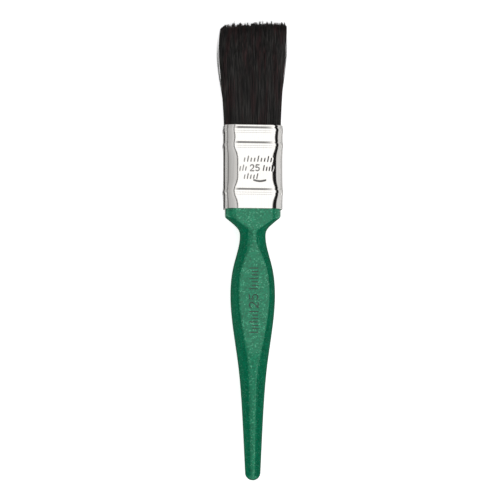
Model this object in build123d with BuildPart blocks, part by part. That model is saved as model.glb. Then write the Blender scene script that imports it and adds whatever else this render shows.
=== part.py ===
"""A 25 mm flat decorating brush: turned wooden handle, plated steel ferrule and resin-set bristle.

The brush lies on its broad back with its length along Y, its bristle towards +Y and its front
face up. The origin is on the bench, below the middle of the overall length. Lengths are in mm.
"""

from build123d import *

import os

# Overall length.
LENGTH = 200.6
HALF_LENGTH = LENGTH / 2

# The ferrule: thin plated strip bent into a flat sleeve, with three pressed beads round it.
FERRULE_WIDTH, FERRULE_THICK, FERRULE_CORNER = 26.0, 13.0, 5.3
FERRULE_FOOT, FERRULE_MOUTH = 18.3, 55.2
STRIP = 0.35
BEAD_WIDTH, BEAD_PROUD = 3.0, 0.35
BEADS = [25.8, 46.4, 53.0]
SEAM_WIDTH, SEAM_DEPTH = 0.3, 0.12

# Height of the long axis above the bench: the brush rests on the crests of its beads.
AXIS_HEIGHT = FERRULE_THICK / 2 + BEAD_PROUD

# The turned outline of the handle, as (distance along Y, radius), rounded end first.
END_RADIUS = 3.35
GRIP_OUTLINE = [(-83.0, 4.02), (-67.0, 4.89), (-51.0, 6.28), (-37.0, 8.24), (-21.0, 9.77), (-6.6, 8.43)]
NECK, NECK_RADIUS = 6.5, 5.65
FLARE_OUTLINE = [(9.2, 6.2), (11.8, 8.5)]
SHOULDER, SHOULDER_RADIUS = 15.6, 13.2

# The handle's flattened front and back, as (distance along Y, half thickness).
TAIL_HALF_THICK = 4.4
FLATS = [(-66.0, 5.15), (-45.0, 6.4), (-24.0, AXIS_HEIGHT - 0.05), (-3.0, 6.05)]
FLATS_TOP = 8.0

# The tang is the same section as the shoulder, so the handle slides straight into the ferrule.
TANG_WIDTH, TANG_THICK, TANG_CORNER = 24.4, 11.6, 4.5
TANG_TOP = 34.0

# What the ferrule holds: glue round the tang, then resin, the plug and the bristle's butts.
FIT_GAP = 0.03
GLUE_FOOT, GLUE_TOP = 20.5, 33.0
RESIN_FOOT, BUTTS, RESIN_TOP = 34.2, 38.0, 44.6
RESIN_WALL = 0.55
PLUG_WIDTH, PLUG_FOOT_THICK, PLUG_TOP_THICK, PLUG_TOP = 17.0, 2.6, 1.8, 49.0
BANK_GAP = 0.04

# The free bristle bends as one block about an axis a little beyond the ferrule's mouth. Its
# rounded root turns in a hollow seat in the bristle that the resin holds.
BEND_AXIS = FERRULE_MOUTH + 6.7
BEND_RADIUS = 5.95
SEAT_GAP = 0.25
SEAT_RIM = 3.0
RESERVOIR_TOP = 76.0

# Sections of the free bristle, as (distance past the bend axis, width, thickness, corner radius).
TUFT_SECTIONS = [
    (0.0, 25.6, 11.6, 4.0),
    (14.0, 27.8, 12.2, 4.0),
    (26.0, 29.6, 11.4, 3.8),
    (39.0, 30.0, 9.8, 3.4),
]
TIP_SLOPE = 0.04

BORE_WIDTH = FERRULE_WIDTH - 2 * STRIP
BORE_THICK = FERRULE_THICK - 2 * STRIP
BORE_CORNER = FERRULE_CORNER - STRIP
LONG_AXIS = Axis((0, 0, AXIS_HEIGHT), (0, 1, 0))
PLAN = Plane.XY.offset(AXIS_HEIGHT)
FRONT, BACK = 1, -1


def section(distance):
    """Plane across the brush at a distance along Y, its normal towards the bristle tips."""
    return Plane(origin=(0, distance, AXIS_HEIGHT), x_dir=(-1, 0, 0), z_dir=(0, 1, 0))


def sleeve(start, end, width, thick, corner, mode=Mode.ADD):
    """Prism of rounded rectangular section between two distances along Y."""
    with BuildSketch(section(start)) as profile:
        RectangleRounded(width, thick, corner)
    extrude(profile.sketch, amount=end - start, mode=mode)


def taper(rims, mode=Mode.ADD):
    """Straight-sided solid through rounded rectangles, as (distance, width, thickness, radius)."""
    sketches = []
    for distance, width, thick, corner in rims:
        with BuildSketch(section(distance)) as rim:
            RectangleRounded(width, thick, corner)
        sketches.append(rim.sketch)
    loft(sketches, ruled=True, mode=mode)


def bead(centre, width, thick, corner, mode=Mode.ADD):
    """Ring round a rounded rectangular section that rises to a flat crest and falls again."""
    foot, head = centre - BEAD_WIDTH / 2, centre + BEAD_WIDTH / 2
    base = (width, thick, corner)
    crest = (width + 2 * BEAD_PROUD, thick + 2 * BEAD_PROUD, corner + BEAD_PROUD)
    taper([(foot, *base), (foot + BEAD_PROUD, *crest)], mode)
    taper([(foot + BEAD_PROUD, *crest), (head - BEAD_PROUD, *crest)], mode)
    taper([(head - BEAD_PROUD, *crest), (head, *base)], mode)


def keep_side(side):
    """Keeps the half of a bristle block in front of the middle plane, or the half behind it."""
    with BuildSketch(PLAN.offset(side * BANK_GAP / 2)) as half:
        Rectangle(2 * LENGTH, 2 * LENGTH)
    extrude(half.sketch, amount=side * FERRULE_THICK, mode=Mode.INTERSECT)


def reservoir():
    """Cuts the wedge of empty space that the plug holds open between the two banks."""
    with BuildSketch(Plane.YZ) as wedge:
        with BuildLine():
            foot, top = PLUG_FOOT_THICK / 2 + FIT_GAP, PLUG_TOP_THICK / 2 + FIT_GAP
            Polyline(
                (BUTTS - 1, AXIS_HEIGHT - foot),
                (BUTTS, AXIS_HEIGHT - foot),
                (PLUG_TOP, AXIS_HEIGHT - top),
                (RESERVOIR_TOP, AXIS_HEIGHT),
                (PLUG_TOP, AXIS_HEIGHT + top),
                (BUTTS, AXIS_HEIGHT + foot),
                (BUTTS - 1, AXIS_HEIGHT + foot),
                close=True,
            )
        make_face()
    extrude(wedge.sketch, amount=PLUG_WIDTH / 2 + FIT_GAP, both=True, mode=Mode.SUBTRACT)


def bend_drum(radius, mode):
    """Cylinder across the brush on the axis that the free bristle bends about."""
    with BuildSketch(Plane.YZ) as disc:
        with Locations((BEND_AXIS, AXIS_HEIGHT)):
            Circle(radius)
    extrude(disc.sketch, amount=FERRULE_WIDTH, both=True, mode=mode)


def save(builder, name):
    """Labels a finished piece and writes its STEP file."""
    builder.part.label = name
    export_step(builder.part, f"parts/{name}.step")


def make_handle():
    """Handle turned to its outline, flattened front and back, with a tang for the ferrule."""
    with BuildPart() as handle:
        with BuildSketch(PLAN):
            with BuildLine():
                cap = RadiusArc((0, -HALF_LENGTH), (END_RADIUS, END_RADIUS - HALF_LENGTH), -END_RADIUS)
                grip = Spline(
                    cap @ 1,
                    *[(radius, distance) for distance, radius in GRIP_OUTLINE],
                    (NECK_RADIUS, NECK),
                    tangents=[(0.04, 1), (0, 1)],
                )
                flare = Spline(
                    grip @ 1,
                    *[(radius, distance) for distance, radius in FLARE_OUTLINE],
                    (SHOULDER_RADIUS, SHOULDER),
                    tangents=[(0, 1), (1.1, 1)],
                )
                side = Line(flare @ 1, (SHOULDER_RADIUS, TANG_TOP))
                top = Line(side @ 1, (0, TANG_TOP))
                Line(top @ 1, cap @ 0)
            make_face()
        revolve(axis=LONG_AXIS)
        with BuildSketch(Plane.YZ):
            with BuildLine():
                corners = []
                for side in (FRONT, BACK):
                    flat = Spline(
                        (-HALF_LENGTH, AXIS_HEIGHT + side * TAIL_HALF_THICK),
                        *[(distance, AXIS_HEIGHT + side * half) for distance, half in FLATS],
                        (FLATS_TOP, AXIS_HEIGHT + side * TANG_THICK / 2),
                        tangents=[(1, side * 0.02), (1, 0)],
                    )
                    tang = Line(flat @ 1, (TANG_TOP, AXIS_HEIGHT + side * TANG_THICK / 2))
                    corners.append((flat @ 0, tang @ 1))
                for front, back in zip(*corners):
                    Line(front, back)
            make_face()
        extrude(amount=FERRULE_WIDTH, both=True, mode=Mode.INTERSECT)
        with BuildSketch(section(FLATS_TOP)):
            Rectangle(2 * FERRULE_WIDTH, 2 * FERRULE_WIDTH)
            RectangleRounded(TANG_WIDTH, TANG_THICK, TANG_CORNER, mode=Mode.SUBTRACT)
        extrude(amount=TANG_TOP - FLATS_TOP, mode=Mode.SUBTRACT)
    return handle


def make_ferrule():
    """Thin sleeve with three beads pressed outwards, and its butt seam along one narrow side."""
    with BuildPart() as ferrule:
        sleeve(FERRULE_FOOT, FERRULE_MOUTH, FERRULE_WIDTH, FERRULE_THICK, FERRULE_CORNER)
        for centre in BEADS:
            bead(centre, FERRULE_WIDTH, FERRULE_THICK, FERRULE_CORNER)
        sleeve(FERRULE_FOOT, FERRULE_MOUTH, BORE_WIDTH, BORE_THICK, BORE_CORNER, Mode.SUBTRACT)
        for centre in BEADS:
            bead(centre, BORE_WIDTH, BORE_THICK, BORE_CORNER, Mode.SUBTRACT)
        with BuildSketch(PLAN.offset(-SEAM_WIDTH / 2)) as seam:
            with Locations((-FERRULE_WIDTH / 2, (FERRULE_FOOT + FERRULE_MOUTH) / 2)):
                Rectangle(2 * SEAM_DEPTH, FERRULE_MOUTH - FERRULE_FOOT)
        extrude(seam.sketch, amount=SEAM_WIDTH, mode=Mode.SUBTRACT)
    return ferrule


def make_handle_glue():
    """Film of glue between the tang and the ferrule, which also fills the lowest bead."""
    with BuildPart() as glue:
        width, thick, corner = BORE_WIDTH - 2 * FIT_GAP, BORE_THICK - 2 * FIT_GAP, BORE_CORNER - FIT_GAP
        sleeve(GLUE_FOOT, GLUE_TOP, width, thick, corner)
        bead(BEADS[0], width, thick, corner)
        sleeve(
            GLUE_FOOT,
            GLUE_TOP,
            TANG_WIDTH + 2 * FIT_GAP,
            TANG_THICK + 2 * FIT_GAP,
            TANG_CORNER + FIT_GAP,
            Mode.SUBTRACT,
        )
    return glue


def make_resin_block():
    """Cup of set resin that grips the bristle's butts and the foot of the plug."""
    with BuildPart() as resin:
        sleeve(
            RESIN_FOOT,
            RESIN_TOP,
            BORE_WIDTH - 2 * FIT_GAP,
            BORE_THICK - 2 * FIT_GAP,
            BORE_CORNER - FIT_GAP,
        )
        sleeve(
            BUTTS,
            RESIN_TOP,
            BORE_WIDTH - 2 * RESIN_WALL,
            BORE_THICK - 2 * RESIN_WALL,
            BORE_CORNER - RESIN_WALL,
            Mode.SUBTRACT,
        )
    return resin


def make_spacer_plug():
    """Wooden strip set between the two banks of bristle, thinner towards the mouth."""
    with BuildPart() as plug:
        with BuildSketch(Plane.YZ) as profile:
            with BuildLine():
                Polyline(
                    (BUTTS + FIT_GAP, AXIS_HEIGHT - PLUG_FOOT_THICK / 2),
                    (PLUG_TOP, AXIS_HEIGHT - PLUG_TOP_THICK / 2),
                    (PLUG_TOP, AXIS_HEIGHT + PLUG_TOP_THICK / 2),
                    (BUTTS + FIT_GAP, AXIS_HEIGHT + PLUG_FOOT_THICK / 2),
                    close=True,
                )
            make_face()
        extrude(profile.sketch, amount=PLUG_WIDTH / 2, both=True)
    return plug


def make_bristle_root(side):
    """The set part of one bank, from its butts to the hollow seat beyond the ferrule's mouth."""
    with BuildPart() as root:
        inner = RESIN_WALL + FIT_GAP
        sleeve(
            BUTTS + FIT_GAP,
            RESIN_TOP,
            BORE_WIDTH - 2 * inner,
            BORE_THICK - 2 * inner,
            BORE_CORNER - inner,
        )
        sleeve(
            RESIN_TOP,
            BEND_AXIS - SEAT_RIM,
            BORE_WIDTH - 2 * FIT_GAP,
            BORE_THICK - 2 * FIT_GAP,
            BORE_CORNER - FIT_GAP,
        )
        bend_drum(BEND_RADIUS + SEAT_GAP, Mode.SUBTRACT)
        reservoir()
        keep_side(side)
    return root


def make_bristle_tuft(side):
    """The free part of one bank, from its rounded root to the tips, which rise to one side."""
    with BuildPart() as tuft:
        first = TUFT_SECTIONS[0]
        sleeve(BEND_AXIS - BEND_RADIUS, BEND_AXIS, *first[1:])
        bend_drum(BEND_RADIUS, Mode.INTERSECT)
        taper([(BEND_AXIS + distance, *rim) for distance, *rim in TUFT_SECTIONS])
        tip_corner = TUFT_SECTIONS[-1][1] / 2
        low_tips = HALF_LENGTH - TIP_SLOPE * (tip_corner + FERRULE_WIDTH)
        with BuildSketch(PLAN) as above_tips:
            with BuildLine():
                Polyline(
                    (-FERRULE_WIDTH, low_tips),
                    (tip_corner, HALF_LENGTH),
                    (FERRULE_WIDTH, HALF_LENGTH),
                    (FERRULE_WIDTH, LENGTH),
                    (-FERRULE_WIDTH, LENGTH),
                    close=True,
                )
            make_face()
        extrude(above_tips.sketch, amount=FERRULE_THICK, both=True, mode=Mode.SUBTRACT)
        reservoir()
        keep_side(side)
    return tuft


os.makedirs("parts", exist_ok=True)
pieces = {
    "handle": make_handle(),
    "ferrule": make_ferrule(),
    "handle_glue": make_handle_glue(),
    "resin_block": make_resin_block(),
    "spacer_plug": make_spacer_plug(),
    "bristle_root_front": make_bristle_root(FRONT),
    "bristle_root_back": make_bristle_root(BACK),
    "bristle_tuft_front": make_bristle_tuft(FRONT),
    "bristle_tuft_back": make_bristle_tuft(BACK),
}
for name, piece in pieces.items():
    save(piece, name)
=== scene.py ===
"""The looks of the flat paint brush: lacquered handle, plated ferrule and separate bristles."""
import math

import bpy
import numpy as np
from mathutils import Matrix, Vector


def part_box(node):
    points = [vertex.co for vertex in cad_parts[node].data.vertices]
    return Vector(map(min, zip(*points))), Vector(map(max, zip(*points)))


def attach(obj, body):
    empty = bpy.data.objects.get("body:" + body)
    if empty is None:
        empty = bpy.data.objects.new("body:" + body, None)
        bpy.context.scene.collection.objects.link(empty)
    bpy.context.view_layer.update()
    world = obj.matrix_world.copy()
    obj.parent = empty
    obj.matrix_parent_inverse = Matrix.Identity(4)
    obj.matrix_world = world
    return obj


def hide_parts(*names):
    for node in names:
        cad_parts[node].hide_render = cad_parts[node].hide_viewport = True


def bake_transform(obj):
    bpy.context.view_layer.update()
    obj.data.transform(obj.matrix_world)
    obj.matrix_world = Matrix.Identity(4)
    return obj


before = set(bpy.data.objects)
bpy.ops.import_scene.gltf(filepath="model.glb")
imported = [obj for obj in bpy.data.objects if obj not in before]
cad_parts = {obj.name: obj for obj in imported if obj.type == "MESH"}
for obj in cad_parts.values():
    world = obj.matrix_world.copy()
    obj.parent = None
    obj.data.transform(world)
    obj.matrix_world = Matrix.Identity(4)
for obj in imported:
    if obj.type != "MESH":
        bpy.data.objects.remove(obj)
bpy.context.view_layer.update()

MM = 0.001

# Places read from the frame, in millimetres.
FERRULE_LOW, FERRULE_HIGH = (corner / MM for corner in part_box("ferrule"))
BENCH = FERRULE_LOW.z
AXIS_HEIGHT = (FERRULE_LOW.z + FERRULE_HIGH.z) / 2
FOOT, MOUTH = FERRULE_LOW.y, FERRULE_HIGH.y
HANDLE_END, TANG_TOP = (corner.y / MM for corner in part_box("handle"))
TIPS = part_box("bristle_tuft_front")[1].y / MM
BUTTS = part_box("bristle_root_front")[0].y / MM

# The handle: the radius of its rounded end, then its turned radius and its half thickness along Y.
END_RADIUS = 3.35
TURNED = [
    (HANDLE_END + END_RADIUS, END_RADIUS), (-83.0, 4.02), (-67.0, 4.89), (-51.0, 6.28), (-37.0, 8.24),
    (-21.0, 9.77), (-6.6, 8.43), (1.5, 6.3), (6.5, 5.65), (9.2, 6.2), (11.8, 8.5), (15.6, 13.2),
]
HALF_THICK = [
    (-100.3, 4.4), (-66.0, 5.15), (-45.0, 6.4), (-24.0, 6.8), (-9.0, 6.55), (0.0, 6.15), (5.0, 5.95),
    (9.0, 5.85), (12.0, 5.8),
]
# The shoulder and tang: half width, half thickness and corner radius. The shoulder widens by its
# slope until it is as wide as the tang, whose top narrows over the lead-in.
TANG = (12.2, 5.8, 4.5)
SHOULDER_SLOPE = 1.1
LEAD_IN, LEAD_IN_SHARE = 0.8, (0.96, 0.92)
# The power that joins the flats to the round sides: the higher, the sharper the edge between them.
EDGE_SHARPNESS = 48

# The ferrule's half width and half thickness. Its section is a superellipse: squarest at the
# beads, which stiffen the strip, and rounder between them.
FERRULE = (13.0, 6.5)
SQUARENESS = 3.8
BEAD_SQUARENESS = 5.4
BEAD_REACH = 3.2
STRIP = 0.35
EDGE_BREAK = 0.05
BEADS = [25.8, 46.4, 53.0]
# Each bead's flanks: how far they stand from its middle, how wide they are and how steep.
FLANK, FLANK_WIDTH, FLANK_SLOPE = 0.93, 0.48, 0.26
SEAM_WIDTH, SEAM_DEPTH = 0.3, 0.12
STAMP_WIDTH, STAMP_DEPTH = 0.25, 0.06

# Half widths of a printed stroke's ink and of the painted shade over a stamped stroke. Each lies
# just above the surface in short steps along the stroke.
INK_HALF_WIDTH, PAINTED_SHADE_HALF_WIDTH = 0.22, 0.16
MARK_LIFT, MARK_STEP = 0.015, 0.5

# The bristle's outline by distance past the mouth: half width, half thickness and sideways lean.
TUFT_HALF_WIDTH = [(0, 12.35), (6, 12.6), (14, 13.1), (22, 13.65), (28, 14.1), (35, 14.5), (44.9, 14.4)]
TUFT_HALF_THICK = [(0, 5.9), (8, 6.0), (20, 6.0), (32, 5.4), (44.9, 4.5)]
TUFT_LEAN = [(0, -0.15), (14, -0.25), (27, -0.35), (44.9, 0.3)]
TUFT_CORNER = 4.2
END_HALF_WIDTH, END_HALF_THICK = TUFT_HALF_WIDTH[-1][1], TUFT_HALF_THICK[-1][1]
# The line that the hairs end near: how far past the CAD tips it lies on the right, and how it
# falls towards the left.
TIP_RISE, TIP_SLOPE = 0.75, 0.052
# How far inside the hairs their dark core lies, and how far short of the CAD tips it stops.
CORE_INSET, CORE_SHORTER = 0.9, 6

# Hairs in each bank: how many, and how deep below the tuft's outside their roots go. The inner
# ones are only the ends of hairs, which show between the tips of the outer ones.
OUTER_HAIRS, OUTER_DEPTH, OUTER_SEGMENTS = 2600, 1.5, 9
INNER_HAIRS, INNER_DEPTH, INNER_SEGMENTS = 2400, 9.0, 4
OUTER_START, INNER_START = MOUTH - 3, TIPS - 13
THINNEST_HAIR, THICKEST_HAIR = 0.07, 0.105
# Neighbours lean together in locks, and their tips gather into smaller spikes. Strays bow outwards.
LOCKS, SPIKES, STRAYS = 130, 330, 12


def spline(points):
    """Smooth curve through (position, value) points, as a function, flat past both ends."""
    xs, ys = (np.array(column, float) for column in zip(*points))
    steps, rises = np.diff(xs), np.diff(ys)
    matrix, right = np.eye(len(xs)), np.zeros(len(xs))
    for i in range(1, len(xs) - 1):
        matrix[i, i - 1 : i + 2] = steps[i - 1], 2 * (steps[i - 1] + steps[i]), steps[i]
        right[i] = 6 * (rises[i] / steps[i] - rises[i - 1] / steps[i - 1])
    bends = np.linalg.solve(matrix, right)

    def value(at):
        at = np.clip(at, xs[0], xs[-1])
        i = np.clip(np.searchsorted(xs, at) - 1, 0, len(steps) - 1)
        left, rest = at - xs[i], xs[i + 1] - at
        cubic = (bends[i] * rest**3 + bends[i + 1] * left**3) / (6 * steps[i])
        line_a = (ys[i] / steps[i] - bends[i] * steps[i] / 6) * rest
        line_b = (ys[i + 1] / steps[i] - bends[i + 1] * steps[i] / 6) * left
        return cubic + line_a + line_b

    return value


def rectangle_reach(angle, half_width, half_thick, corner):
    """Distance from the centre of a rounded rectangle to its edge, by direction."""
    c, s = np.abs(np.cos(angle)) + 1e-9, np.abs(np.sin(angle)) + 1e-9
    side, top = half_width / c, half_thick / s
    on_side, on_top = side * s <= half_thick - corner, top * c <= half_width - corner
    cx, cz = half_width - corner, half_thick - corner
    along = c * cx + s * cz
    round_part = along + np.sqrt(np.maximum(along**2 - cx**2 - cz**2 + corner**2, 0))
    return np.where(on_side, side, np.where(on_top, top, round_part))


def mesh_object(name, points, faces):
    """Object from points in millimetres, shaded smooth."""
    mesh = bpy.data.meshes.new(name)
    mesh.from_pydata((np.asarray(points) * MM).tolist(), [], faces)
    mesh.shade_smooth()
    piece = bpy.data.objects.new(name, mesh)
    bpy.context.scene.collection.objects.link(piece)
    return piece


def ring_faces(rings, around, first=0):
    """Quads between successive closed rings of points."""
    faces = []
    for ring in range(rings - 1):
        low, high = first + ring * around, first + (ring + 1) * around
        for i in range(around):
            j = (i + 1) % around
            faces.append((low + i, low + j, high + j, high + i))
    return faces


# ---------------------------------------------------------------- materials


def material(name, **sockets):
    """Principled material with plain values set on its sockets. Returns it, its tree and shader."""
    made = bpy.data.materials.new(name)
    made.use_nodes = True
    shader = made.node_tree.nodes["Principled BSDF"]
    for socket, value in sockets.items():
        shader.inputs[socket.replace("_", " ")].default_value = value
    return made, made.node_tree, shader


def node(tree, kind, inputs=None, **settings):
    """Adds a shader node. Its inputs are values, or sockets to link from."""
    made = tree.nodes.new(kind)
    for setting, value in settings.items():
        setattr(made, setting, value)
    for socket, value in (inputs or {}).items():
        if isinstance(value, bpy.types.NodeSocket):
            tree.links.new(value, made.inputs[socket])
        else:
            made.inputs[socket].default_value = value
    return made


def ramp(tree, factor, stops):
    """Colour ramp through (position, colour) stops."""
    made = node(tree, "ShaderNodeValToRGB", {"Fac": factor})
    elements = made.color_ramp.elements
    while len(elements) < len(stops):
        elements.new(1.0)
    for element, (position, colour) in zip(elements, stops):
        element.position = position
        element.color = (*colour, 1)
    return made.outputs["Color"]


def place(tree, scale=(1, 1, 1)):
    """The piece's own coordinates in millimetres, stretched."""
    own = node(tree, "ShaderNodeTexCoord").outputs["Object"]
    scaled = node(tree, "ShaderNodeMapping", {"Vector": own, "Scale": [s / MM for s in scale]})
    return scaled.outputs["Vector"]


def mixed(tree, factor, low, high, blend="MIX"):
    """Two colours mixed by a factor."""
    made = node(tree, "ShaderNodeMix", {0: factor, 6: low, 7: high}, data_type="RGBA", blend_type=blend)
    return made.outputs[2]


# The lacquer's flecks: how many of each size to a millimetre, and how far they tilt.
FLECKS_PER_MM = (2.1, 5.5)
FLECK_TILT = 0.18


def lacquer_material():
    """Green lacquer with fine metallic flecks, each tilted its own way, under a clear gloss coat."""
    made, tree, shader = material(
        "green_fleck_lacquer", Roughness=0.3, Coat_Weight=0.7, Coat_Roughness=0.05
    )
    shader.inputs["Specular IOR Level"].default_value = 0.15
    large, small = FLECKS_PER_MM
    flecks = node(tree, "ShaderNodeTexVoronoi", {"Vector": place(tree), "Scale": large}).outputs["Color"]
    fine = node(tree, "ShaderNodeTexVoronoi", {"Vector": place(tree), "Scale": small}).outputs["Color"]
    cloud = node(tree, "ShaderNodeTexNoise", {"Vector": place(tree), "Scale": 0.35, "Detail": 3.0})
    ground = ramp(tree, cloud.outputs["Fac"], [(0.3, (0.001, 0.24, 0.113)), (0.7, (0.002, 0.282, 0.137))])
    share = node(tree, "ShaderNodeSeparateColor", {"Color": flecks}).outputs["Red"]
    shade = ramp(tree, share, [(0.0, (0.72,) * 3), (0.8, (1.16,) * 3), (0.93, (1.28,) * 3)])
    silver = ramp(tree, share, [(0.84, (0.0,) * 3), (0.96, (0.3,) * 3)])
    flaked = mixed(tree, silver, mixed(tree, 1.0, ground, shade, "MULTIPLY"), (0.26, 0.66, 0.44, 1))
    tree.links.new(flaked, shader.inputs["Base Color"])
    glint = ramp(tree, share, [(0.84, (0.32,) * 3), (0.96, (0.7,) * 3)])
    tree.links.new(glint, shader.inputs["Metallic"])
    both = mixed(tree, 0.5, flecks, fine)
    tilt = node(tree, "ShaderNodeVectorMath", {0: both, 1: (0.5,) * 3}, operation="SUBTRACT").outputs[0]
    tilt = node(tree, "ShaderNodeVectorMath", {0: tilt, "Scale": FLECK_TILT}, operation="SCALE").outputs[0]
    straight = node(tree, "ShaderNodeNewGeometry").outputs["Normal"]
    tilted = node(tree, "ShaderNodeVectorMath", {0: straight, 1: tilt}, operation="ADD").outputs[0]
    tilted = node(tree, "ShaderNodeVectorMath", {0: tilted}, operation="NORMALIZE").outputs[0]
    tree.links.new(tilted, shader.inputs["Normal"])
    tree.links.new(straight, shader.inputs["Coat Normal"])
    return made


def plating_material():
    """Bright plated steel with faint drawing lines along its length."""
    made, tree, shader = material("bright_plating", Metallic=1.0)
    lines = node(
        tree, "ShaderNodeTexNoise", {"Vector": place(tree, (2.4, 0.1, 2.4)), "Scale": 1.0, "Detail": 3.0}
    )
    tint = ramp(tree, lines.outputs["Fac"], [(0.3, (0.85, 0.825, 0.79)), (0.7, (0.93, 0.915, 0.89))])
    tree.links.new(tint, shader.inputs["Base Color"])
    haze = node(tree, "ShaderNodeTexNoise", {"Vector": place(tree), "Scale": 0.5, "Detail": 4.0})
    rough = node(
        tree, "ShaderNodeMapRange", {"Value": haze.outputs["Fac"], "To Min": 0.05, "To Max": 0.1}
    )
    tree.links.new(rough.outputs["Result"], shader.inputs["Roughness"])
    return made


def bristle_material():
    """Black bristle with brown and grey hairs among it."""
    made, tree, shader = material("black_bristle", Roughness=0.42)
    hairs = node(
        tree, "ShaderNodeTexNoise", {"Vector": place(tree, (3.2, 0.09, 3.2)), "Scale": 1.0, "Detail": 2.0}
    )
    patches = node(
        tree, "ShaderNodeTexNoise", {"Vector": place(tree, (0.5, 0.05, 0.5)), "Scale": 1.0, "Detail": 1.0}
    )
    greys = [(0.36, (0.002, 0.002, 0.002)), (0.5, (0.013, 0.012, 0.011)), (0.66, (0.068, 0.064, 0.06))]
    browns = [(0.38, (0.004, 0.003, 0.003)), (0.5, (0.018, 0.009, 0.009)), (0.65, (0.072, 0.03, 0.03))]
    black_to_grey = ramp(tree, hairs.outputs["Fac"], greys)
    black_to_brown = ramp(tree, hairs.outputs["Fac"], browns)
    where = ramp(tree, patches.outputs["Fac"], [(0.48, (0.0,) * 3), (0.6, (1.0,) * 3)])
    tree.links.new(mixed(tree, where, black_to_grey, black_to_brown), shader.inputs["Base Color"])
    return made


def plain_material(name, low, high, scale, roughness, stretch=(1, 1, 1)):
    """Material of two tones, mixed by a noise of some scale that may be stretched."""
    made, tree, shader = material(name, Roughness=roughness)
    grain = node(
        tree, "ShaderNodeTexNoise", {"Vector": place(tree, stretch), "Scale": scale, "Detail": 4.0}
    )
    tree.links.new(ramp(tree, grain.outputs["Fac"], [(0.3, low), (0.7, high)]), shader.inputs["Base Color"])
    return made


# ------------------------------------------------------------------- handle

turned_radius = spline(TURNED)
half_thick = spline(HALF_THICK)


def handle_radius(y):
    """Turned radius, with the rounded end. Past its last point it grows on, so the tang's sides show."""
    from_end = y - HANDLE_END
    if from_end < END_RADIUS:
        return math.sqrt(max(END_RADIUS**2 - (END_RADIUS - from_end) ** 2, 0))
    past = y - TURNED[-1][0]
    return float(turned_radius(y)) + max(past, 0) * SHOULDER_SLOPE


def handle_ring(y, around):
    """One section of the handle: the turned circle cut by the flattened front and back."""
    radius, thick = handle_radius(y), float(half_thick(y))
    turn = np.linspace(0, 2 * math.pi, around, endpoint=False)
    aspect = min(thick / max(min(radius, TANG[0]), 1e-6), 1)
    angle = np.arctan2(aspect * np.sin(turn), np.cos(turn))
    flat = rectangle_reach(angle, TANG[0], thick, TANG[2])
    reach = (flat**-EDGE_SHARPNESS + max(radius, 1e-3) ** -EDGE_SHARPNESS) ** (-1 / EDGE_SHARPNESS)
    return [(r * math.cos(a), y, AXIS_HEIGHT + r * math.sin(a)) for r, a in zip(reach, angle)]


def make_handle():
    """The lacquered handle with its tang, as rings from its rounded end to the tang's top."""
    around = 144
    cap = [HANDLE_END + END_RADIUS * (1 - math.cos(a)) for a in np.linspace(0.04, math.pi / 2, 14)]
    grip = list(np.arange(cap[-1] + 0.7, 5, 0.9))
    flare = list(np.arange(grip[-1] + 0.4, FOOT, 0.2))
    stations = cap + grip + flare + [FOOT + 1.0, TANG_TOP - LEAD_IN]
    points = [point for y in stations for point in handle_ring(y, around)]
    lead_in = np.array(handle_ring(TANG_TOP - LEAD_IN, around)) - (0, 0, AXIS_HEIGHT)
    narrow, thin = LEAD_IN_SHARE
    points += [(x * narrow, TANG_TOP, AXIS_HEIGHT + z * thin) for x, _, z in lead_in]
    faces = ring_faces(len(stations) + 1, around)
    points += [(0, HANDLE_END, AXIS_HEIGHT), (0, TANG_TOP, AXIS_HEIGHT)]
    end, top = len(points) - 2, len(points) - 1
    last = len(stations) * around
    for i in range(around):
        j = (i + 1) % around
        faces += [(end, j, i), (top, last + i, last + j)]
    piece = mesh_object("lacquered_handle", points, faces)
    piece.data.materials.append(lacquer_material())
    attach(piece, "brush_body")
    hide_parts("handle")
    return piece


def make_ink_or_shade_strip(name, strokes, half_width, surface, look):
    """Thin strip of print or of painted shade laid over strokes given as (x, y) polylines, at the height of
    a surface.
    """
    points, faces = [], []
    for stroke in strokes:
        for (ax, ay), (bx, by) in zip(stroke, stroke[1:]):
            length = math.hypot(bx - ax, by - ay)
            ux, uy = (bx - ax) / length, (by - ay) / length
            steps = max(int(length / MARK_STEP), 1)
            first = len(points)
            for step in range(steps + 1):
                reach = (length + half_width) * step / steps - half_width / 2
                for side in (half_width, -half_width):
                    x, y = ax + ux * reach - uy * side, ay + uy * reach + ux * side
                    points.append((x, y, AXIS_HEIGHT + float(surface(x, y)) + MARK_LIFT))
            for step in range(steps):
                k = first + 2 * step
                faces.append((k, k + 1, k + 3, k + 2))
    piece = mesh_object(name, points, faces)
    piece.data.materials.append(look)
    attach(piece, "brush_body")
    return piece


def make_handle_mark():
    """Printed mark along the handle's front: plain bars on both sides of the nominal width."""
    tall, short = 3.8, 2.5
    bars = [tall, short, short, tall, short, short, tall]
    along = ticks(0.0, 0.0, 1.5, bars) + width_mark(10.7, 0.0, tall) + ticks(19.0, 0.0, 1.5, bars)
    foot_x, start_y = 1.5, -36.0
    turned = [[(foot_x - v, u + start_y) for u, v in stroke] for stroke in along]
    ink = plain_material("mark_ink", (0.035, 0.07, 0.05), (0.06, 0.11, 0.08), 1.5, 0.45)
    make_ink_or_shade_strip("handle_mark", turned, INK_HALF_WIDTH, lambda x, y: half_thick(y), ink)


# ------------------------------------------------------------------ ferrule

# The numerals of the nominal width, each one stroke in a cell of unit height.
NUMERALS = {
    "2": [
        (0.0, 0.78), (0.12, 0.95), (0.35, 1.0), (0.6, 0.93), (0.68, 0.72), (0.55, 0.48), (0.0, 0.0),
        (0.7, 0.0),
    ],
    "5": [
        (0.66, 1.0), (0.12, 1.0), (0.06, 0.56), (0.36, 0.63), (0.62, 0.5), (0.68, 0.28), (0.55, 0.07),
        (0.28, 0.0), (0.0, 0.1),
    ],
}


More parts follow.
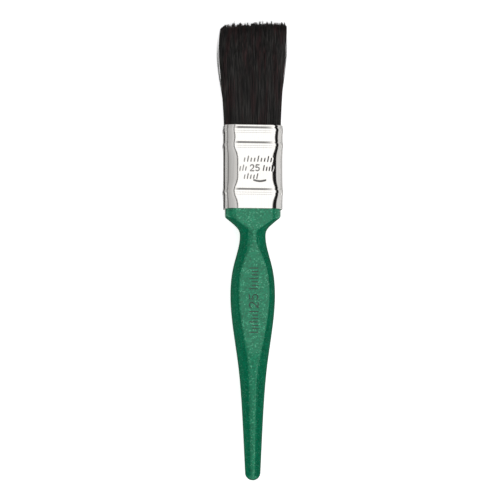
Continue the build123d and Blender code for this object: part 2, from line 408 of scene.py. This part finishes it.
def width_mark(left, foot, height):
    """Strokes of the nominal width in millimetres, as (x, y) polylines."""
    strokes = []
    for index, numeral in enumerate("25"):
        start = left + index * 0.92 * height
        strokes.append([(start + x * height * 0.9, foot + y * height) for x, y in NUMERALS[numeral]])
    return strokes


def ticks(left, foot, spacing, heights, slant=0.0):
    """Row of short plain bars, which may slant."""
    return [
        [(left + i * spacing, foot), (left + i * spacing + slant * height, foot + height)]
        for i, height in enumerate(heights)
    ]


def stamp_strokes():
    """The mark pressed into the ferrule's front: plain bars, the nominal width and a rule under it."""
    slant = 0.2
    strokes = ticks(-4.6, 38.9, 1.5, [1.5, 2.3, 1.5, 1.5, 2.4, 1.5, 1.5, 2.3, 1.5], slant)
    strokes += ticks(-6.6, 34.9, 1.3, [1.6, 2.3, 1.6], slant) + width_mark(-1.9, 34.8, 2.6)
    strokes += ticks(3.9, 34.9, 1.35, [2.3, 1.6, 1.6, 2.3], slant)
    strokes += ticks(-4.6, 31.3, 1.4, [1.6, 2.2, 1.6, 1.6, 2.2], slant)
    rule_left, rule_length, rule_sag = -0.4, 5.4, 0.5
    for drop in (0.0, 0.32):
        height = 30.9 - drop
        shares = np.linspace(0, 1, 9)
        sags = [rule_sag * math.sin(math.pi * t) for t in shares]
        strokes.append([(rule_left + t * rule_length, height - sag) for t, sag in zip(shares, sags)])
    return strokes


def distance_to_strokes(x, y, strokes):
    """Distance from points to the nearest of several polylines."""
    nearest = np.full(np.shape(x), 9.0)
    for stroke in strokes:
        for (ax, ay), (bx, by) in zip(stroke, stroke[1:]):
            dx, dy = bx - ax, by - ay
            t = np.clip(((x - ax) * dx + (y - ay) * dy) / (dx * dx + dy * dy), 0, 1)
            nearest = np.minimum(nearest, np.hypot(x - ax - t * dx, y - ay - t * dy))
    return nearest


def bead_rise(y):
    """How far the beads lift the strip at a distance along Y."""
    rise = 0.0
    for bead in BEADS:
        edge = math.erf((FLANK - abs(y - bead)) / FLANK_WIDTH)
        rise += FLANK_SLOPE * FLANK_WIDTH * math.sqrt(math.pi) / 2 * (edge + 1)
    return rise


def squareness(y):
    """The section's exponent, which rises smoothly towards each bead."""
    near = sum(math.exp(-(((y - bead) / BEAD_REACH) ** 2)) for bead in BEADS)
    return SQUARENESS + (BEAD_SQUARENESS - SQUARENESS) * min(near, 1)


def ferrule_directions():
    """Directions round the section, closest together at the corners and over the front."""
    w, t = FERRULE
    corner = 5.3
    turns = np.linspace(0, math.pi / 2, 20)
    round_corner = [(w - corner + corner * math.cos(a), t - corner + corner * math.sin(a)) for a in turns]
    front = [(x, t) for x in np.linspace(w - corner, corner - w, 180)[1:-1]]
    back = [(x, -t) for x in np.linspace(corner - w, w - corner, 24)[1:-1]]
    edge = SEAM_WIDTH / 2
    side = [-edge - 0.02, -edge + 0.02, 0.0, edge - 0.02, edge + 0.02]
    left = [(-w, -z) for z in [-1.2, -0.6, *side, 0.6, 1.2]]
    right = [(w, z) for z in (-1.2, -0.6, 0.0, 0.6, 1.2)]
    walk = round_corner + front + [(-x, z) for x, z in reversed(round_corner)] + left
    walk += [(-x, -z) for x, z in round_corner] + back
    walk += [(x, -z) for x, z in reversed(round_corner)] + right
    x, z = np.array(walk).T
    return np.arctan2(z, x)


def ferrule_ring(directions, y, offset, strokes=None):
    """One section of the ferrule: the superellipse moved outwards, with its seam and stamped mark."""
    w, t = FERRULE
    power = squareness(y)
    c, s = np.cos(directions), np.sin(directions)
    reach = (np.abs(c / w) ** power + np.abs(s / t) ** power) ** (-1 / power)
    x, z = reach * c, reach * s
    nx = np.sign(x) * np.abs(x / w) ** (power - 1) / w
    nz = np.sign(z) * np.abs(z / t) ** (power - 1) / t
    length = np.hypot(nx, nz)
    nx, nz = nx / length, nz / length
    move = np.full(x.shape, offset + bead_rise(y))
    if strokes:
        move -= np.where((x < 0) & (np.abs(z) < SEAM_WIDTH / 2), SEAM_DEPTH, 0)
        pressed = np.exp(-((distance_to_strokes(x, y, strokes) / STAMP_WIDTH) ** 2))
        move -= np.where(z > 0, STAMP_DEPTH * pressed, 0)
    return np.stack([x + nx * move, np.full(x.shape, y), AXIS_HEIGHT + z + nz * move], axis=1)


def ferrule_front(x, y):
    """Height of the ferrule's front above the long axis."""
    power = squareness(y)
    return FERRULE[1] * (1 - abs(x / FERRULE[0]) ** power) ** (1 / power) + bead_rise(y)


def make_stamp_painted_shade():
    """Painted shade and painted reflection in the pressed strokes, darkest towards the right."""
    made, tree, shader = material("stamp_painted_shade", Metallic=0.7, Roughness=0.35)
    across = node(tree, "ShaderNodeSeparateXYZ", {"Vector": place(tree)}).outputs["X"]
    share = node(tree, "ShaderNodeMapRange", {"Value": across, "From Min": -7.0, "From Max": 8.0})
    # Painted shade: the strokes run from grey on the left to near black on the right.
    tint = ramp(tree, share.outputs["Result"], [(0.0, (0.4, 0.39, 0.38)), (1.0, (0.03, 0.03, 0.035))])
    tree.links.new(tint, shader.inputs["Base Color"])
    make_ink_or_shade_strip("ferrule_stamp_painted_shade", stamp_strokes(), PAINTED_SHADE_HALF_WIDTH, ferrule_front, made)


def make_ferrule():
    """The plated sleeve: rings up its outside, over its mouth and back down its inside."""
    directions = ferrule_directions()
    around = len(directions)
    strokes = stamp_strokes()
    lip, step = 0.08, 0.17
    stations = [FOOT, FOOT + lip, *np.arange(FOOT + 0.25, MOUTH - 0.15, step), MOUTH - lip, MOUTH]
    inner_stations = [MOUTH, *np.arange(MOUTH - 0.8, FOOT + 0.2, -0.9), FOOT]
    cuts = (FOOT, MOUTH)
    rings = [ferrule_ring(directions, y, -EDGE_BREAK if y in cuts else 0.0, strokes) for y in stations]
    rings += [ferrule_ring(directions, y, -STRIP) for y in inner_stations]
    faces = ring_faces(len(rings), around)
    last = (len(rings) - 1) * around
    faces += [(last + i, last + (i + 1) % around, (i + 1) % around, i) for i in range(around)]
    piece = mesh_object("plated_ferrule", np.concatenate(rings), faces)
    piece.data.materials.append(plating_material())
    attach(piece, "brush_body")
    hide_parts("ferrule")
    return piece


# ------------------------------------------------------------------ bristle

tuft_half_width = spline(TUFT_HALF_WIDTH)
tuft_half_thick = spline(TUFT_HALF_THICK)
tuft_lean = spline(TUFT_LEAN)


def make_core():
    """Dark solid middle of the tuft, which stops light passing between the hairs."""
    around = 72
    turn = np.linspace(0, 2 * math.pi, around, endpoint=False)
    stations = [BUTTS] + list(np.linspace(MOUTH, TIPS - CORE_SHORTER, 16))
    points = []
    for y in stations:
        w = float(tuft_half_width(y - MOUTH)) - CORE_INSET
        t = float(tuft_half_thick(y - MOUTH)) - CORE_INSET
        angle = np.arctan2(t / w * np.sin(turn), np.cos(turn))
        reach = rectangle_reach(angle, w, t, TUFT_CORNER - CORE_INSET)
        lean = float(tuft_lean(y - MOUTH))
        points += [(lean + r * math.cos(a), y, AXIS_HEIGHT + r * math.sin(a)) for r, a in zip(reach, angle)]
    faces = ring_faces(len(stations), around)
    points += [(0, stations[0], AXIS_HEIGHT), (0, stations[-1], AXIS_HEIGHT)]
    end, top, last = len(points) - 2, len(points) - 1, (len(stations) - 1) * around
    for i in range(around):
        j = (i + 1) % around
        faces += [(end, j, i), (top, last + i, last + j)]
    return mesh_object("bristle_core", points, faces)


def hair_roots(random, count, depth):
    """Places across the tuft, from -1 to 1 each way, no deeper than depth below its outside."""
    places = []
    w, t = TUFT_HALF_WIDTH[0][1], TUFT_HALF_THICK[0][1]
    while len(places) < count:
        x, z = random.uniform(-w, w, 4 * count), random.uniform(-t, t, 4 * count)
        from_outside = rectangle_reach(np.arctan2(z, x), w, t, TUFT_CORNER) - np.hypot(x, z)
        kept = (from_outside >= 0) & (from_outside <= depth)
        places += list(zip(x[kept] / w, z[kept] / t))
    return np.array(places[:count])


def nearest_place(places, centres):
    """Index of the nearest centre to each place across the tuft."""
    return np.argmin((((places[:, None] - centres[None]) * (2.4, 1)) ** 2).sum(2), axis=1)


def hair_tips(random, roots, lock_of, spike_of, strays):
    """Where each hair ends along Y: near one sloping line, ragged by lock, by spike and by hair."""
    count = len(roots)
    across, depth = roots[:, 0], roots[:, 1]
    line = TIPS + TIP_RISE - TIP_SLOPE * (END_HALF_WIDTH - across * END_HALF_WIDTH)
    tip = line - np.abs(random.normal(0, 0.2, count)) - 0.3 * random.random(LOCKS)[lock_of]
    tip += np.minimum(random.exponential(0.62, SPIKES), 2.0)[spike_of]
    tip += np.where(random.random(count) < 0.04, np.minimum(random.exponential(0.4, count), 1.3), 0)
    tip -= 1.9 * np.clip(-across, 0, 1) ** 8 + 1.3 * np.clip(across, 0, 1) ** 10
    tip -= 1.2 * np.abs(depth) ** 3
    tip[:strays] -= random.uniform(0, 9, strays)
    return tip


def make_hairs(name, side, seed, count, depth, start, segments, strays=0):
    """Separate three-sided hairs of one bank, which lean in locks and gather into spikes."""
    random = np.random.default_rng(seed)
    roots = hair_roots(random, count, depth)
    roots[:, 1] = side * np.abs(roots[:, 1])
    roots[:strays, 0] = np.where(np.arange(strays) % 2, 1, -1) * random.uniform(0.95, 1.0, strays)
    roots[:strays, 1] = side * random.uniform(0, 0.7, strays)
    lock_of = nearest_place(roots, random.uniform(-1, 1, (LOCKS, 2)))
    spikes = random.uniform(-1, 1, (SPIKES, 2))
    spike_of = nearest_place(roots, spikes)
    gather = random.uniform(0.3, 0.9, SPIKES)[spike_of, None]
    lean = random.normal(0, 0.22, (LOCKS, 2))[lock_of] + random.normal(0, 0.1, (count, 2))
    lean += gather * (spikes[spike_of] - roots) * (END_HALF_WIDTH, END_HALF_THICK)
    bow = np.zeros(count)
    bow[:strays] = np.sign(roots[:strays, 0]) * random.uniform(0.4, 1.3, strays)
    tip = hair_tips(random, roots, lock_of, spike_of, strays)
    wave = random.uniform(0, 2 * math.pi, (count, 2))
    radius = random.uniform(THINNEST_HAIR, THICKEST_HAIR, count)
    rows = segments + 1
    turns = np.array([0.5, 0.5 + 2 * math.pi / 3, 0.5 + 4 * math.pi / 3])
    rings = np.zeros((count, rows, 3, 3))
    for row, step in enumerate(np.linspace(0, 1, rows)):
        y = start + (tip - start) * step
        past = np.clip((y - MOUTH) / (TIPS - MOUTH), 0, 1)
        w, t = tuft_half_width(y - MOUTH), tuft_half_thick(y - MOUTH)
        ripple = 0.09 * past[:, None] * np.sin(wave + past[:, None] * (6, 5))
        x = roots[:, 0] * w + tuft_lean(y - MOUTH) + lean[:, 0] * past**3 + ripple[:, 0]
        x += bow * np.sin(math.pi * np.clip(past * 1.35 - 0.4, 0, 1))
        z = roots[:, 1] * t + lean[:, 1] * past**3 + ripple[:, 1]
        thick = radius * (1 - 0.8 * np.clip((step - 0.75) / 0.25, 0, 1) ** 2)
        for corner, turn in enumerate(turns):
            rings[:, row, corner] = np.stack(
                [x + math.cos(turn) * thick, y, AXIS_HEIGHT + z + math.sin(turn) * thick], axis=1
            )
    faces = []
    for hair in range(count):
        base = hair * rows * 3
        faces += ring_faces(rows, 3, base)
        faces += [(base + 2, base + 1, base), tuple(base + segments * 3 + i for i in range(3))]
    return mesh_object(name, rings.reshape(-1, 3), faces)


def make_bristle():
    """Both banks of hairs round their core, which bend together from the mouth to the tips."""
    hair = bristle_material()
    shadow_tones = (0.004, 0.003, 0.003), (0.01, 0.008, 0.008)
    shadow = plain_material("bristle_shadow", *shadow_tones, 2.0, 0.7, (3, 0.05, 3))
    core = make_core()
    core.data.materials.append(shadow)
    bending = [core]
    outer_run = OUTER_HAIRS, OUTER_DEPTH, OUTER_START, OUTER_SEGMENTS, STRAYS
    inner_run = INNER_HAIRS, INNER_DEPTH, INNER_START, INNER_SEGMENTS
    for index, (bank, side) in enumerate({"front": 1, "back": -1}.items()):
        outer = make_hairs(f"{bank}_bristles", side, 20 + index, *outer_run)
        inner = make_hairs(f"{bank}_inner_bristles", side, 40 + index, *inner_run)
        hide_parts(f"bristle_root_{bank}", f"bristle_tuft_{bank}")
        for piece in (outer, inner):
            piece.data.materials.append(hair)
            bending.append(piece)
    for piece in bending:
        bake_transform(piece)


# ------------------------------------------------------------- inner pieces


def dress_hidden_pieces():
    """Materials for the pieces that the ferrule hides."""
    looks = {
        "handle_glue": plain_material("cured_glue", (0.5, 0.4, 0.2), (0.66, 0.56, 0.34), 0.8, 0.35),
        "resin_block": plain_material("set_resin", (0.24, 0.13, 0.04), (0.36, 0.22, 0.08), 0.6, 0.2),
        "spacer_plug": plain_material(
            "plug_softwood", (0.45, 0.29, 0.15), (0.66, 0.48, 0.29), 0.9, 0.6, (1, 0.08, 1)
        ),
    }
    for name, look in looks.items():
        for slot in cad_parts[name].material_slots:
            slot.material = look


# ------------------------------------------------------------------- studio


def make_floor():
    """White floor at the bench's height, bright enough to stay white under the brush."""
    size = 4000
    corners = [(-size, -size, BENCH), (size, -size, BENCH), (size, size, BENCH), (-size, size, BENCH)]
    floor = mesh_object("studio_floor", corners, [(0, 1, 2, 3)])
    made, _, shader = material("studio_white", Base_Color=(0.9, 0.9, 0.9, 1), Roughness=0.9)
    shader.inputs["Emission Color"].default_value = (1, 1, 1, 1)
    shader.inputs["Emission Strength"].default_value = 0.75
    floor.data.materials.append(made)


# What the plating mirrors, by direction in degrees from straight up: round the brush's length
# (negative on its left), and along it (positive towards the tips).
ROUND_THE_BRUSH = [
    (-180, 0.5), (-76, 0.5), (-70, 0.22), (-58, 0.22), (-52, 0.48), (-40, 0.49), (-20, 0.56),
    (-8.2, 0.72), (-7.2, 0.05), (-5.2, 0.05), (-4.6, 1.2), (23, 1.2), (24.3, 0.01), (39, 0.01),
    (42, 0.72), (180, 0.76),
]
ALONG_THE_BRUSH = [(-180, 0.9), (-40, 0.9), (-28, 1.0), (50, 1.0), (60, 0.7), (180, 0.7)]
# The dark gaps in the overhead light, along the brush and to each side of it.
GAP_ALONG = [
    (-180, 0.0), (-11, 0.0), (-10, 1.3), (-4, 1.3), (-3, 0.0), (18, 0.0), (21, 1.75), (44, 1.75), (50, 0.0),
    (180, 0.0),
]
GAP_ROUND = [(-180, 0.0), (-5, 0.0), (3, 1.9), (9, 1.9), (19, 0.0), (180, 0.0)]
LIGHT_STRENGTH = 4.0


def light_by_angle(tree, sideways, upwards, stops):
    """Brightness looked up by the angle that a direction leans sideways from straight up."""
    angle = node(tree, "ShaderNodeMath", {0: sideways, 1: upwards}, operation="ARCTAN2")
    share = node(
        tree, "ShaderNodeMapRange", {"Value": angle.outputs[0], "From Min": -math.pi, "From Max": math.pi}
    )
    shades = [(0.5 + degrees / 360, (value / 2,) * 3) for degrees, value in stops]
    return ramp(tree, share.outputs["Result"], shades)


def make_studio_light():
    """A soft overhead light, with grey walls and dark gaps round it that the plating mirrors."""
    world = bpy.data.worlds.new("studio")
    world.use_nodes = True
    bpy.context.scene.world = world
    tree = world.node_tree
    background = tree.nodes["Background"]
    direction = node(tree, "ShaderNodeTexCoord").outputs["Generated"]
    axes = node(tree, "ShaderNodeSeparateXYZ", {"Vector": direction}).outputs
    around = light_by_angle(tree, axes["X"], axes["Z"], ROUND_THE_BRUSH)
    along = light_by_angle(tree, axes["Y"], axes["Z"], ALONG_THE_BRUSH)
    gap = mixed(
        tree,
        1.0,
        light_by_angle(tree, axes["Y"], axes["Z"], GAP_ALONG),
        light_by_angle(tree, axes["X"], axes["Z"], GAP_ROUND),
        "MULTIPLY",
    )
    zones = mixed(tree, gap, mixed(tree, 1.0, around, along, "MULTIPLY"), (0.02, 0.02, 0.02, 1))
    seen = node(tree, "ShaderNodeLightPath").outputs["Is Camera Ray"]
    plain = 1 / LIGHT_STRENGTH
    shown = mixed(tree, seen, zones, (plain, plain, plain, 1))
    tree.links.new(shown, background.inputs["Color"])
    background.inputs["Strength"].default_value = LIGHT_STRENGTH


def make_card(name, corners, shade):
    """Evenly bright card that shows only where the brush mirrors it."""
    card = mesh_object(name, corners, [(0, 1, 2, 3)])
    made, _, shader = material(name, Base_Color=(0.0, 0.0, 0.0, 1), Roughness=1.0)
    shader.inputs["Specular IOR Level"].default_value = 0.0
    shader.inputs["Emission Color"].default_value = (1, 1, 1, 1)
    shader.inputs["Emission Strength"].default_value = shade
    card.data.materials.append(made)
    for ray in ("camera", "diffuse", "shadow", "transmission", "volume_scatter"):
        setattr(card, f"visible_{ray}", False)


def make_cards():
    """Grey and black cards laid round the brush, and black ones standing beside its handle."""
    lying = {
        "ferrule_grey_card": (-400, 400, FOOT - 4, 400, 0.12, 0.5),
        "handle_grey_card": (-24, 24, HANDLE_END - 40, FOOT - 4, 0.12, 0.03),
        "ferrule_black_card": (-22.5, -14.2, FOOT - 2, MOUTH + 2, 0.16, 0.0),
    }
    for name, (left, right, near, far, height, shade) in lying.items():
        z = BENCH + height
        make_card(name, [(left, near, z), (right, near, z), (right, far, z), (left, far, z)], shade)
    near, far = HANDLE_END - 15, FOOT - 8
    low, high = BENCH + 2, BENCH + 28
    for name, x, shade in (("left_flag", -17, 0.03), ("right_flag", 17, 0.02)):
        make_card(name, [(x, near, low), (x, far, low), (x, far, high), (x, near, high)], shade)


# The camera's lean from straight above, in degrees, to the left and towards the handle's end. Then
# the point on the brush that it looks at, its distance from there in metres, and its lens.
CAMERA_LEAN = (7, 4.7)
CAMERA_AIM = (-1.2, 0.45, AXIS_HEIGHT)
CAMERA_DISTANCE = 1.0
CAMERA_LENS = 163.8


def make_camera():
    """Long lens above the brush's front, with its bristle at the top of the picture."""
    data = bpy.data.cameras.new("photo_view")
    camera = bpy.data.objects.new("photo_view", data)
    bpy.context.scene.collection.objects.link(camera)
    target = Vector(CAMERA_AIM) * MM
    left, down = (math.sin(math.radians(lean)) for lean in CAMERA_LEAN)
    towards = Vector((-left, -down, 1)).normalized()
    right = Vector((0, 1, 0)).cross(towards).normalized()
    up = towards.cross(right)
    turn = Matrix((right, up, towards)).transposed().to_4x4()
    camera.matrix_world = Matrix.Translation(target + towards * CAMERA_DISTANCE) @ turn
    data.sensor_width = 36
    data.lens = CAMERA_LENS
    data.clip_start = 0.05
    bpy.context.scene.camera = camera


make_handle()
make_handle_mark()
make_ferrule()
make_stamp_painted_shade()
make_bristle()
dress_hidden_pieces()
make_floor()
make_studio_light()
make_cards()
make_camera()
bpy.context.scene.view_settings.view_transform = "Standard"
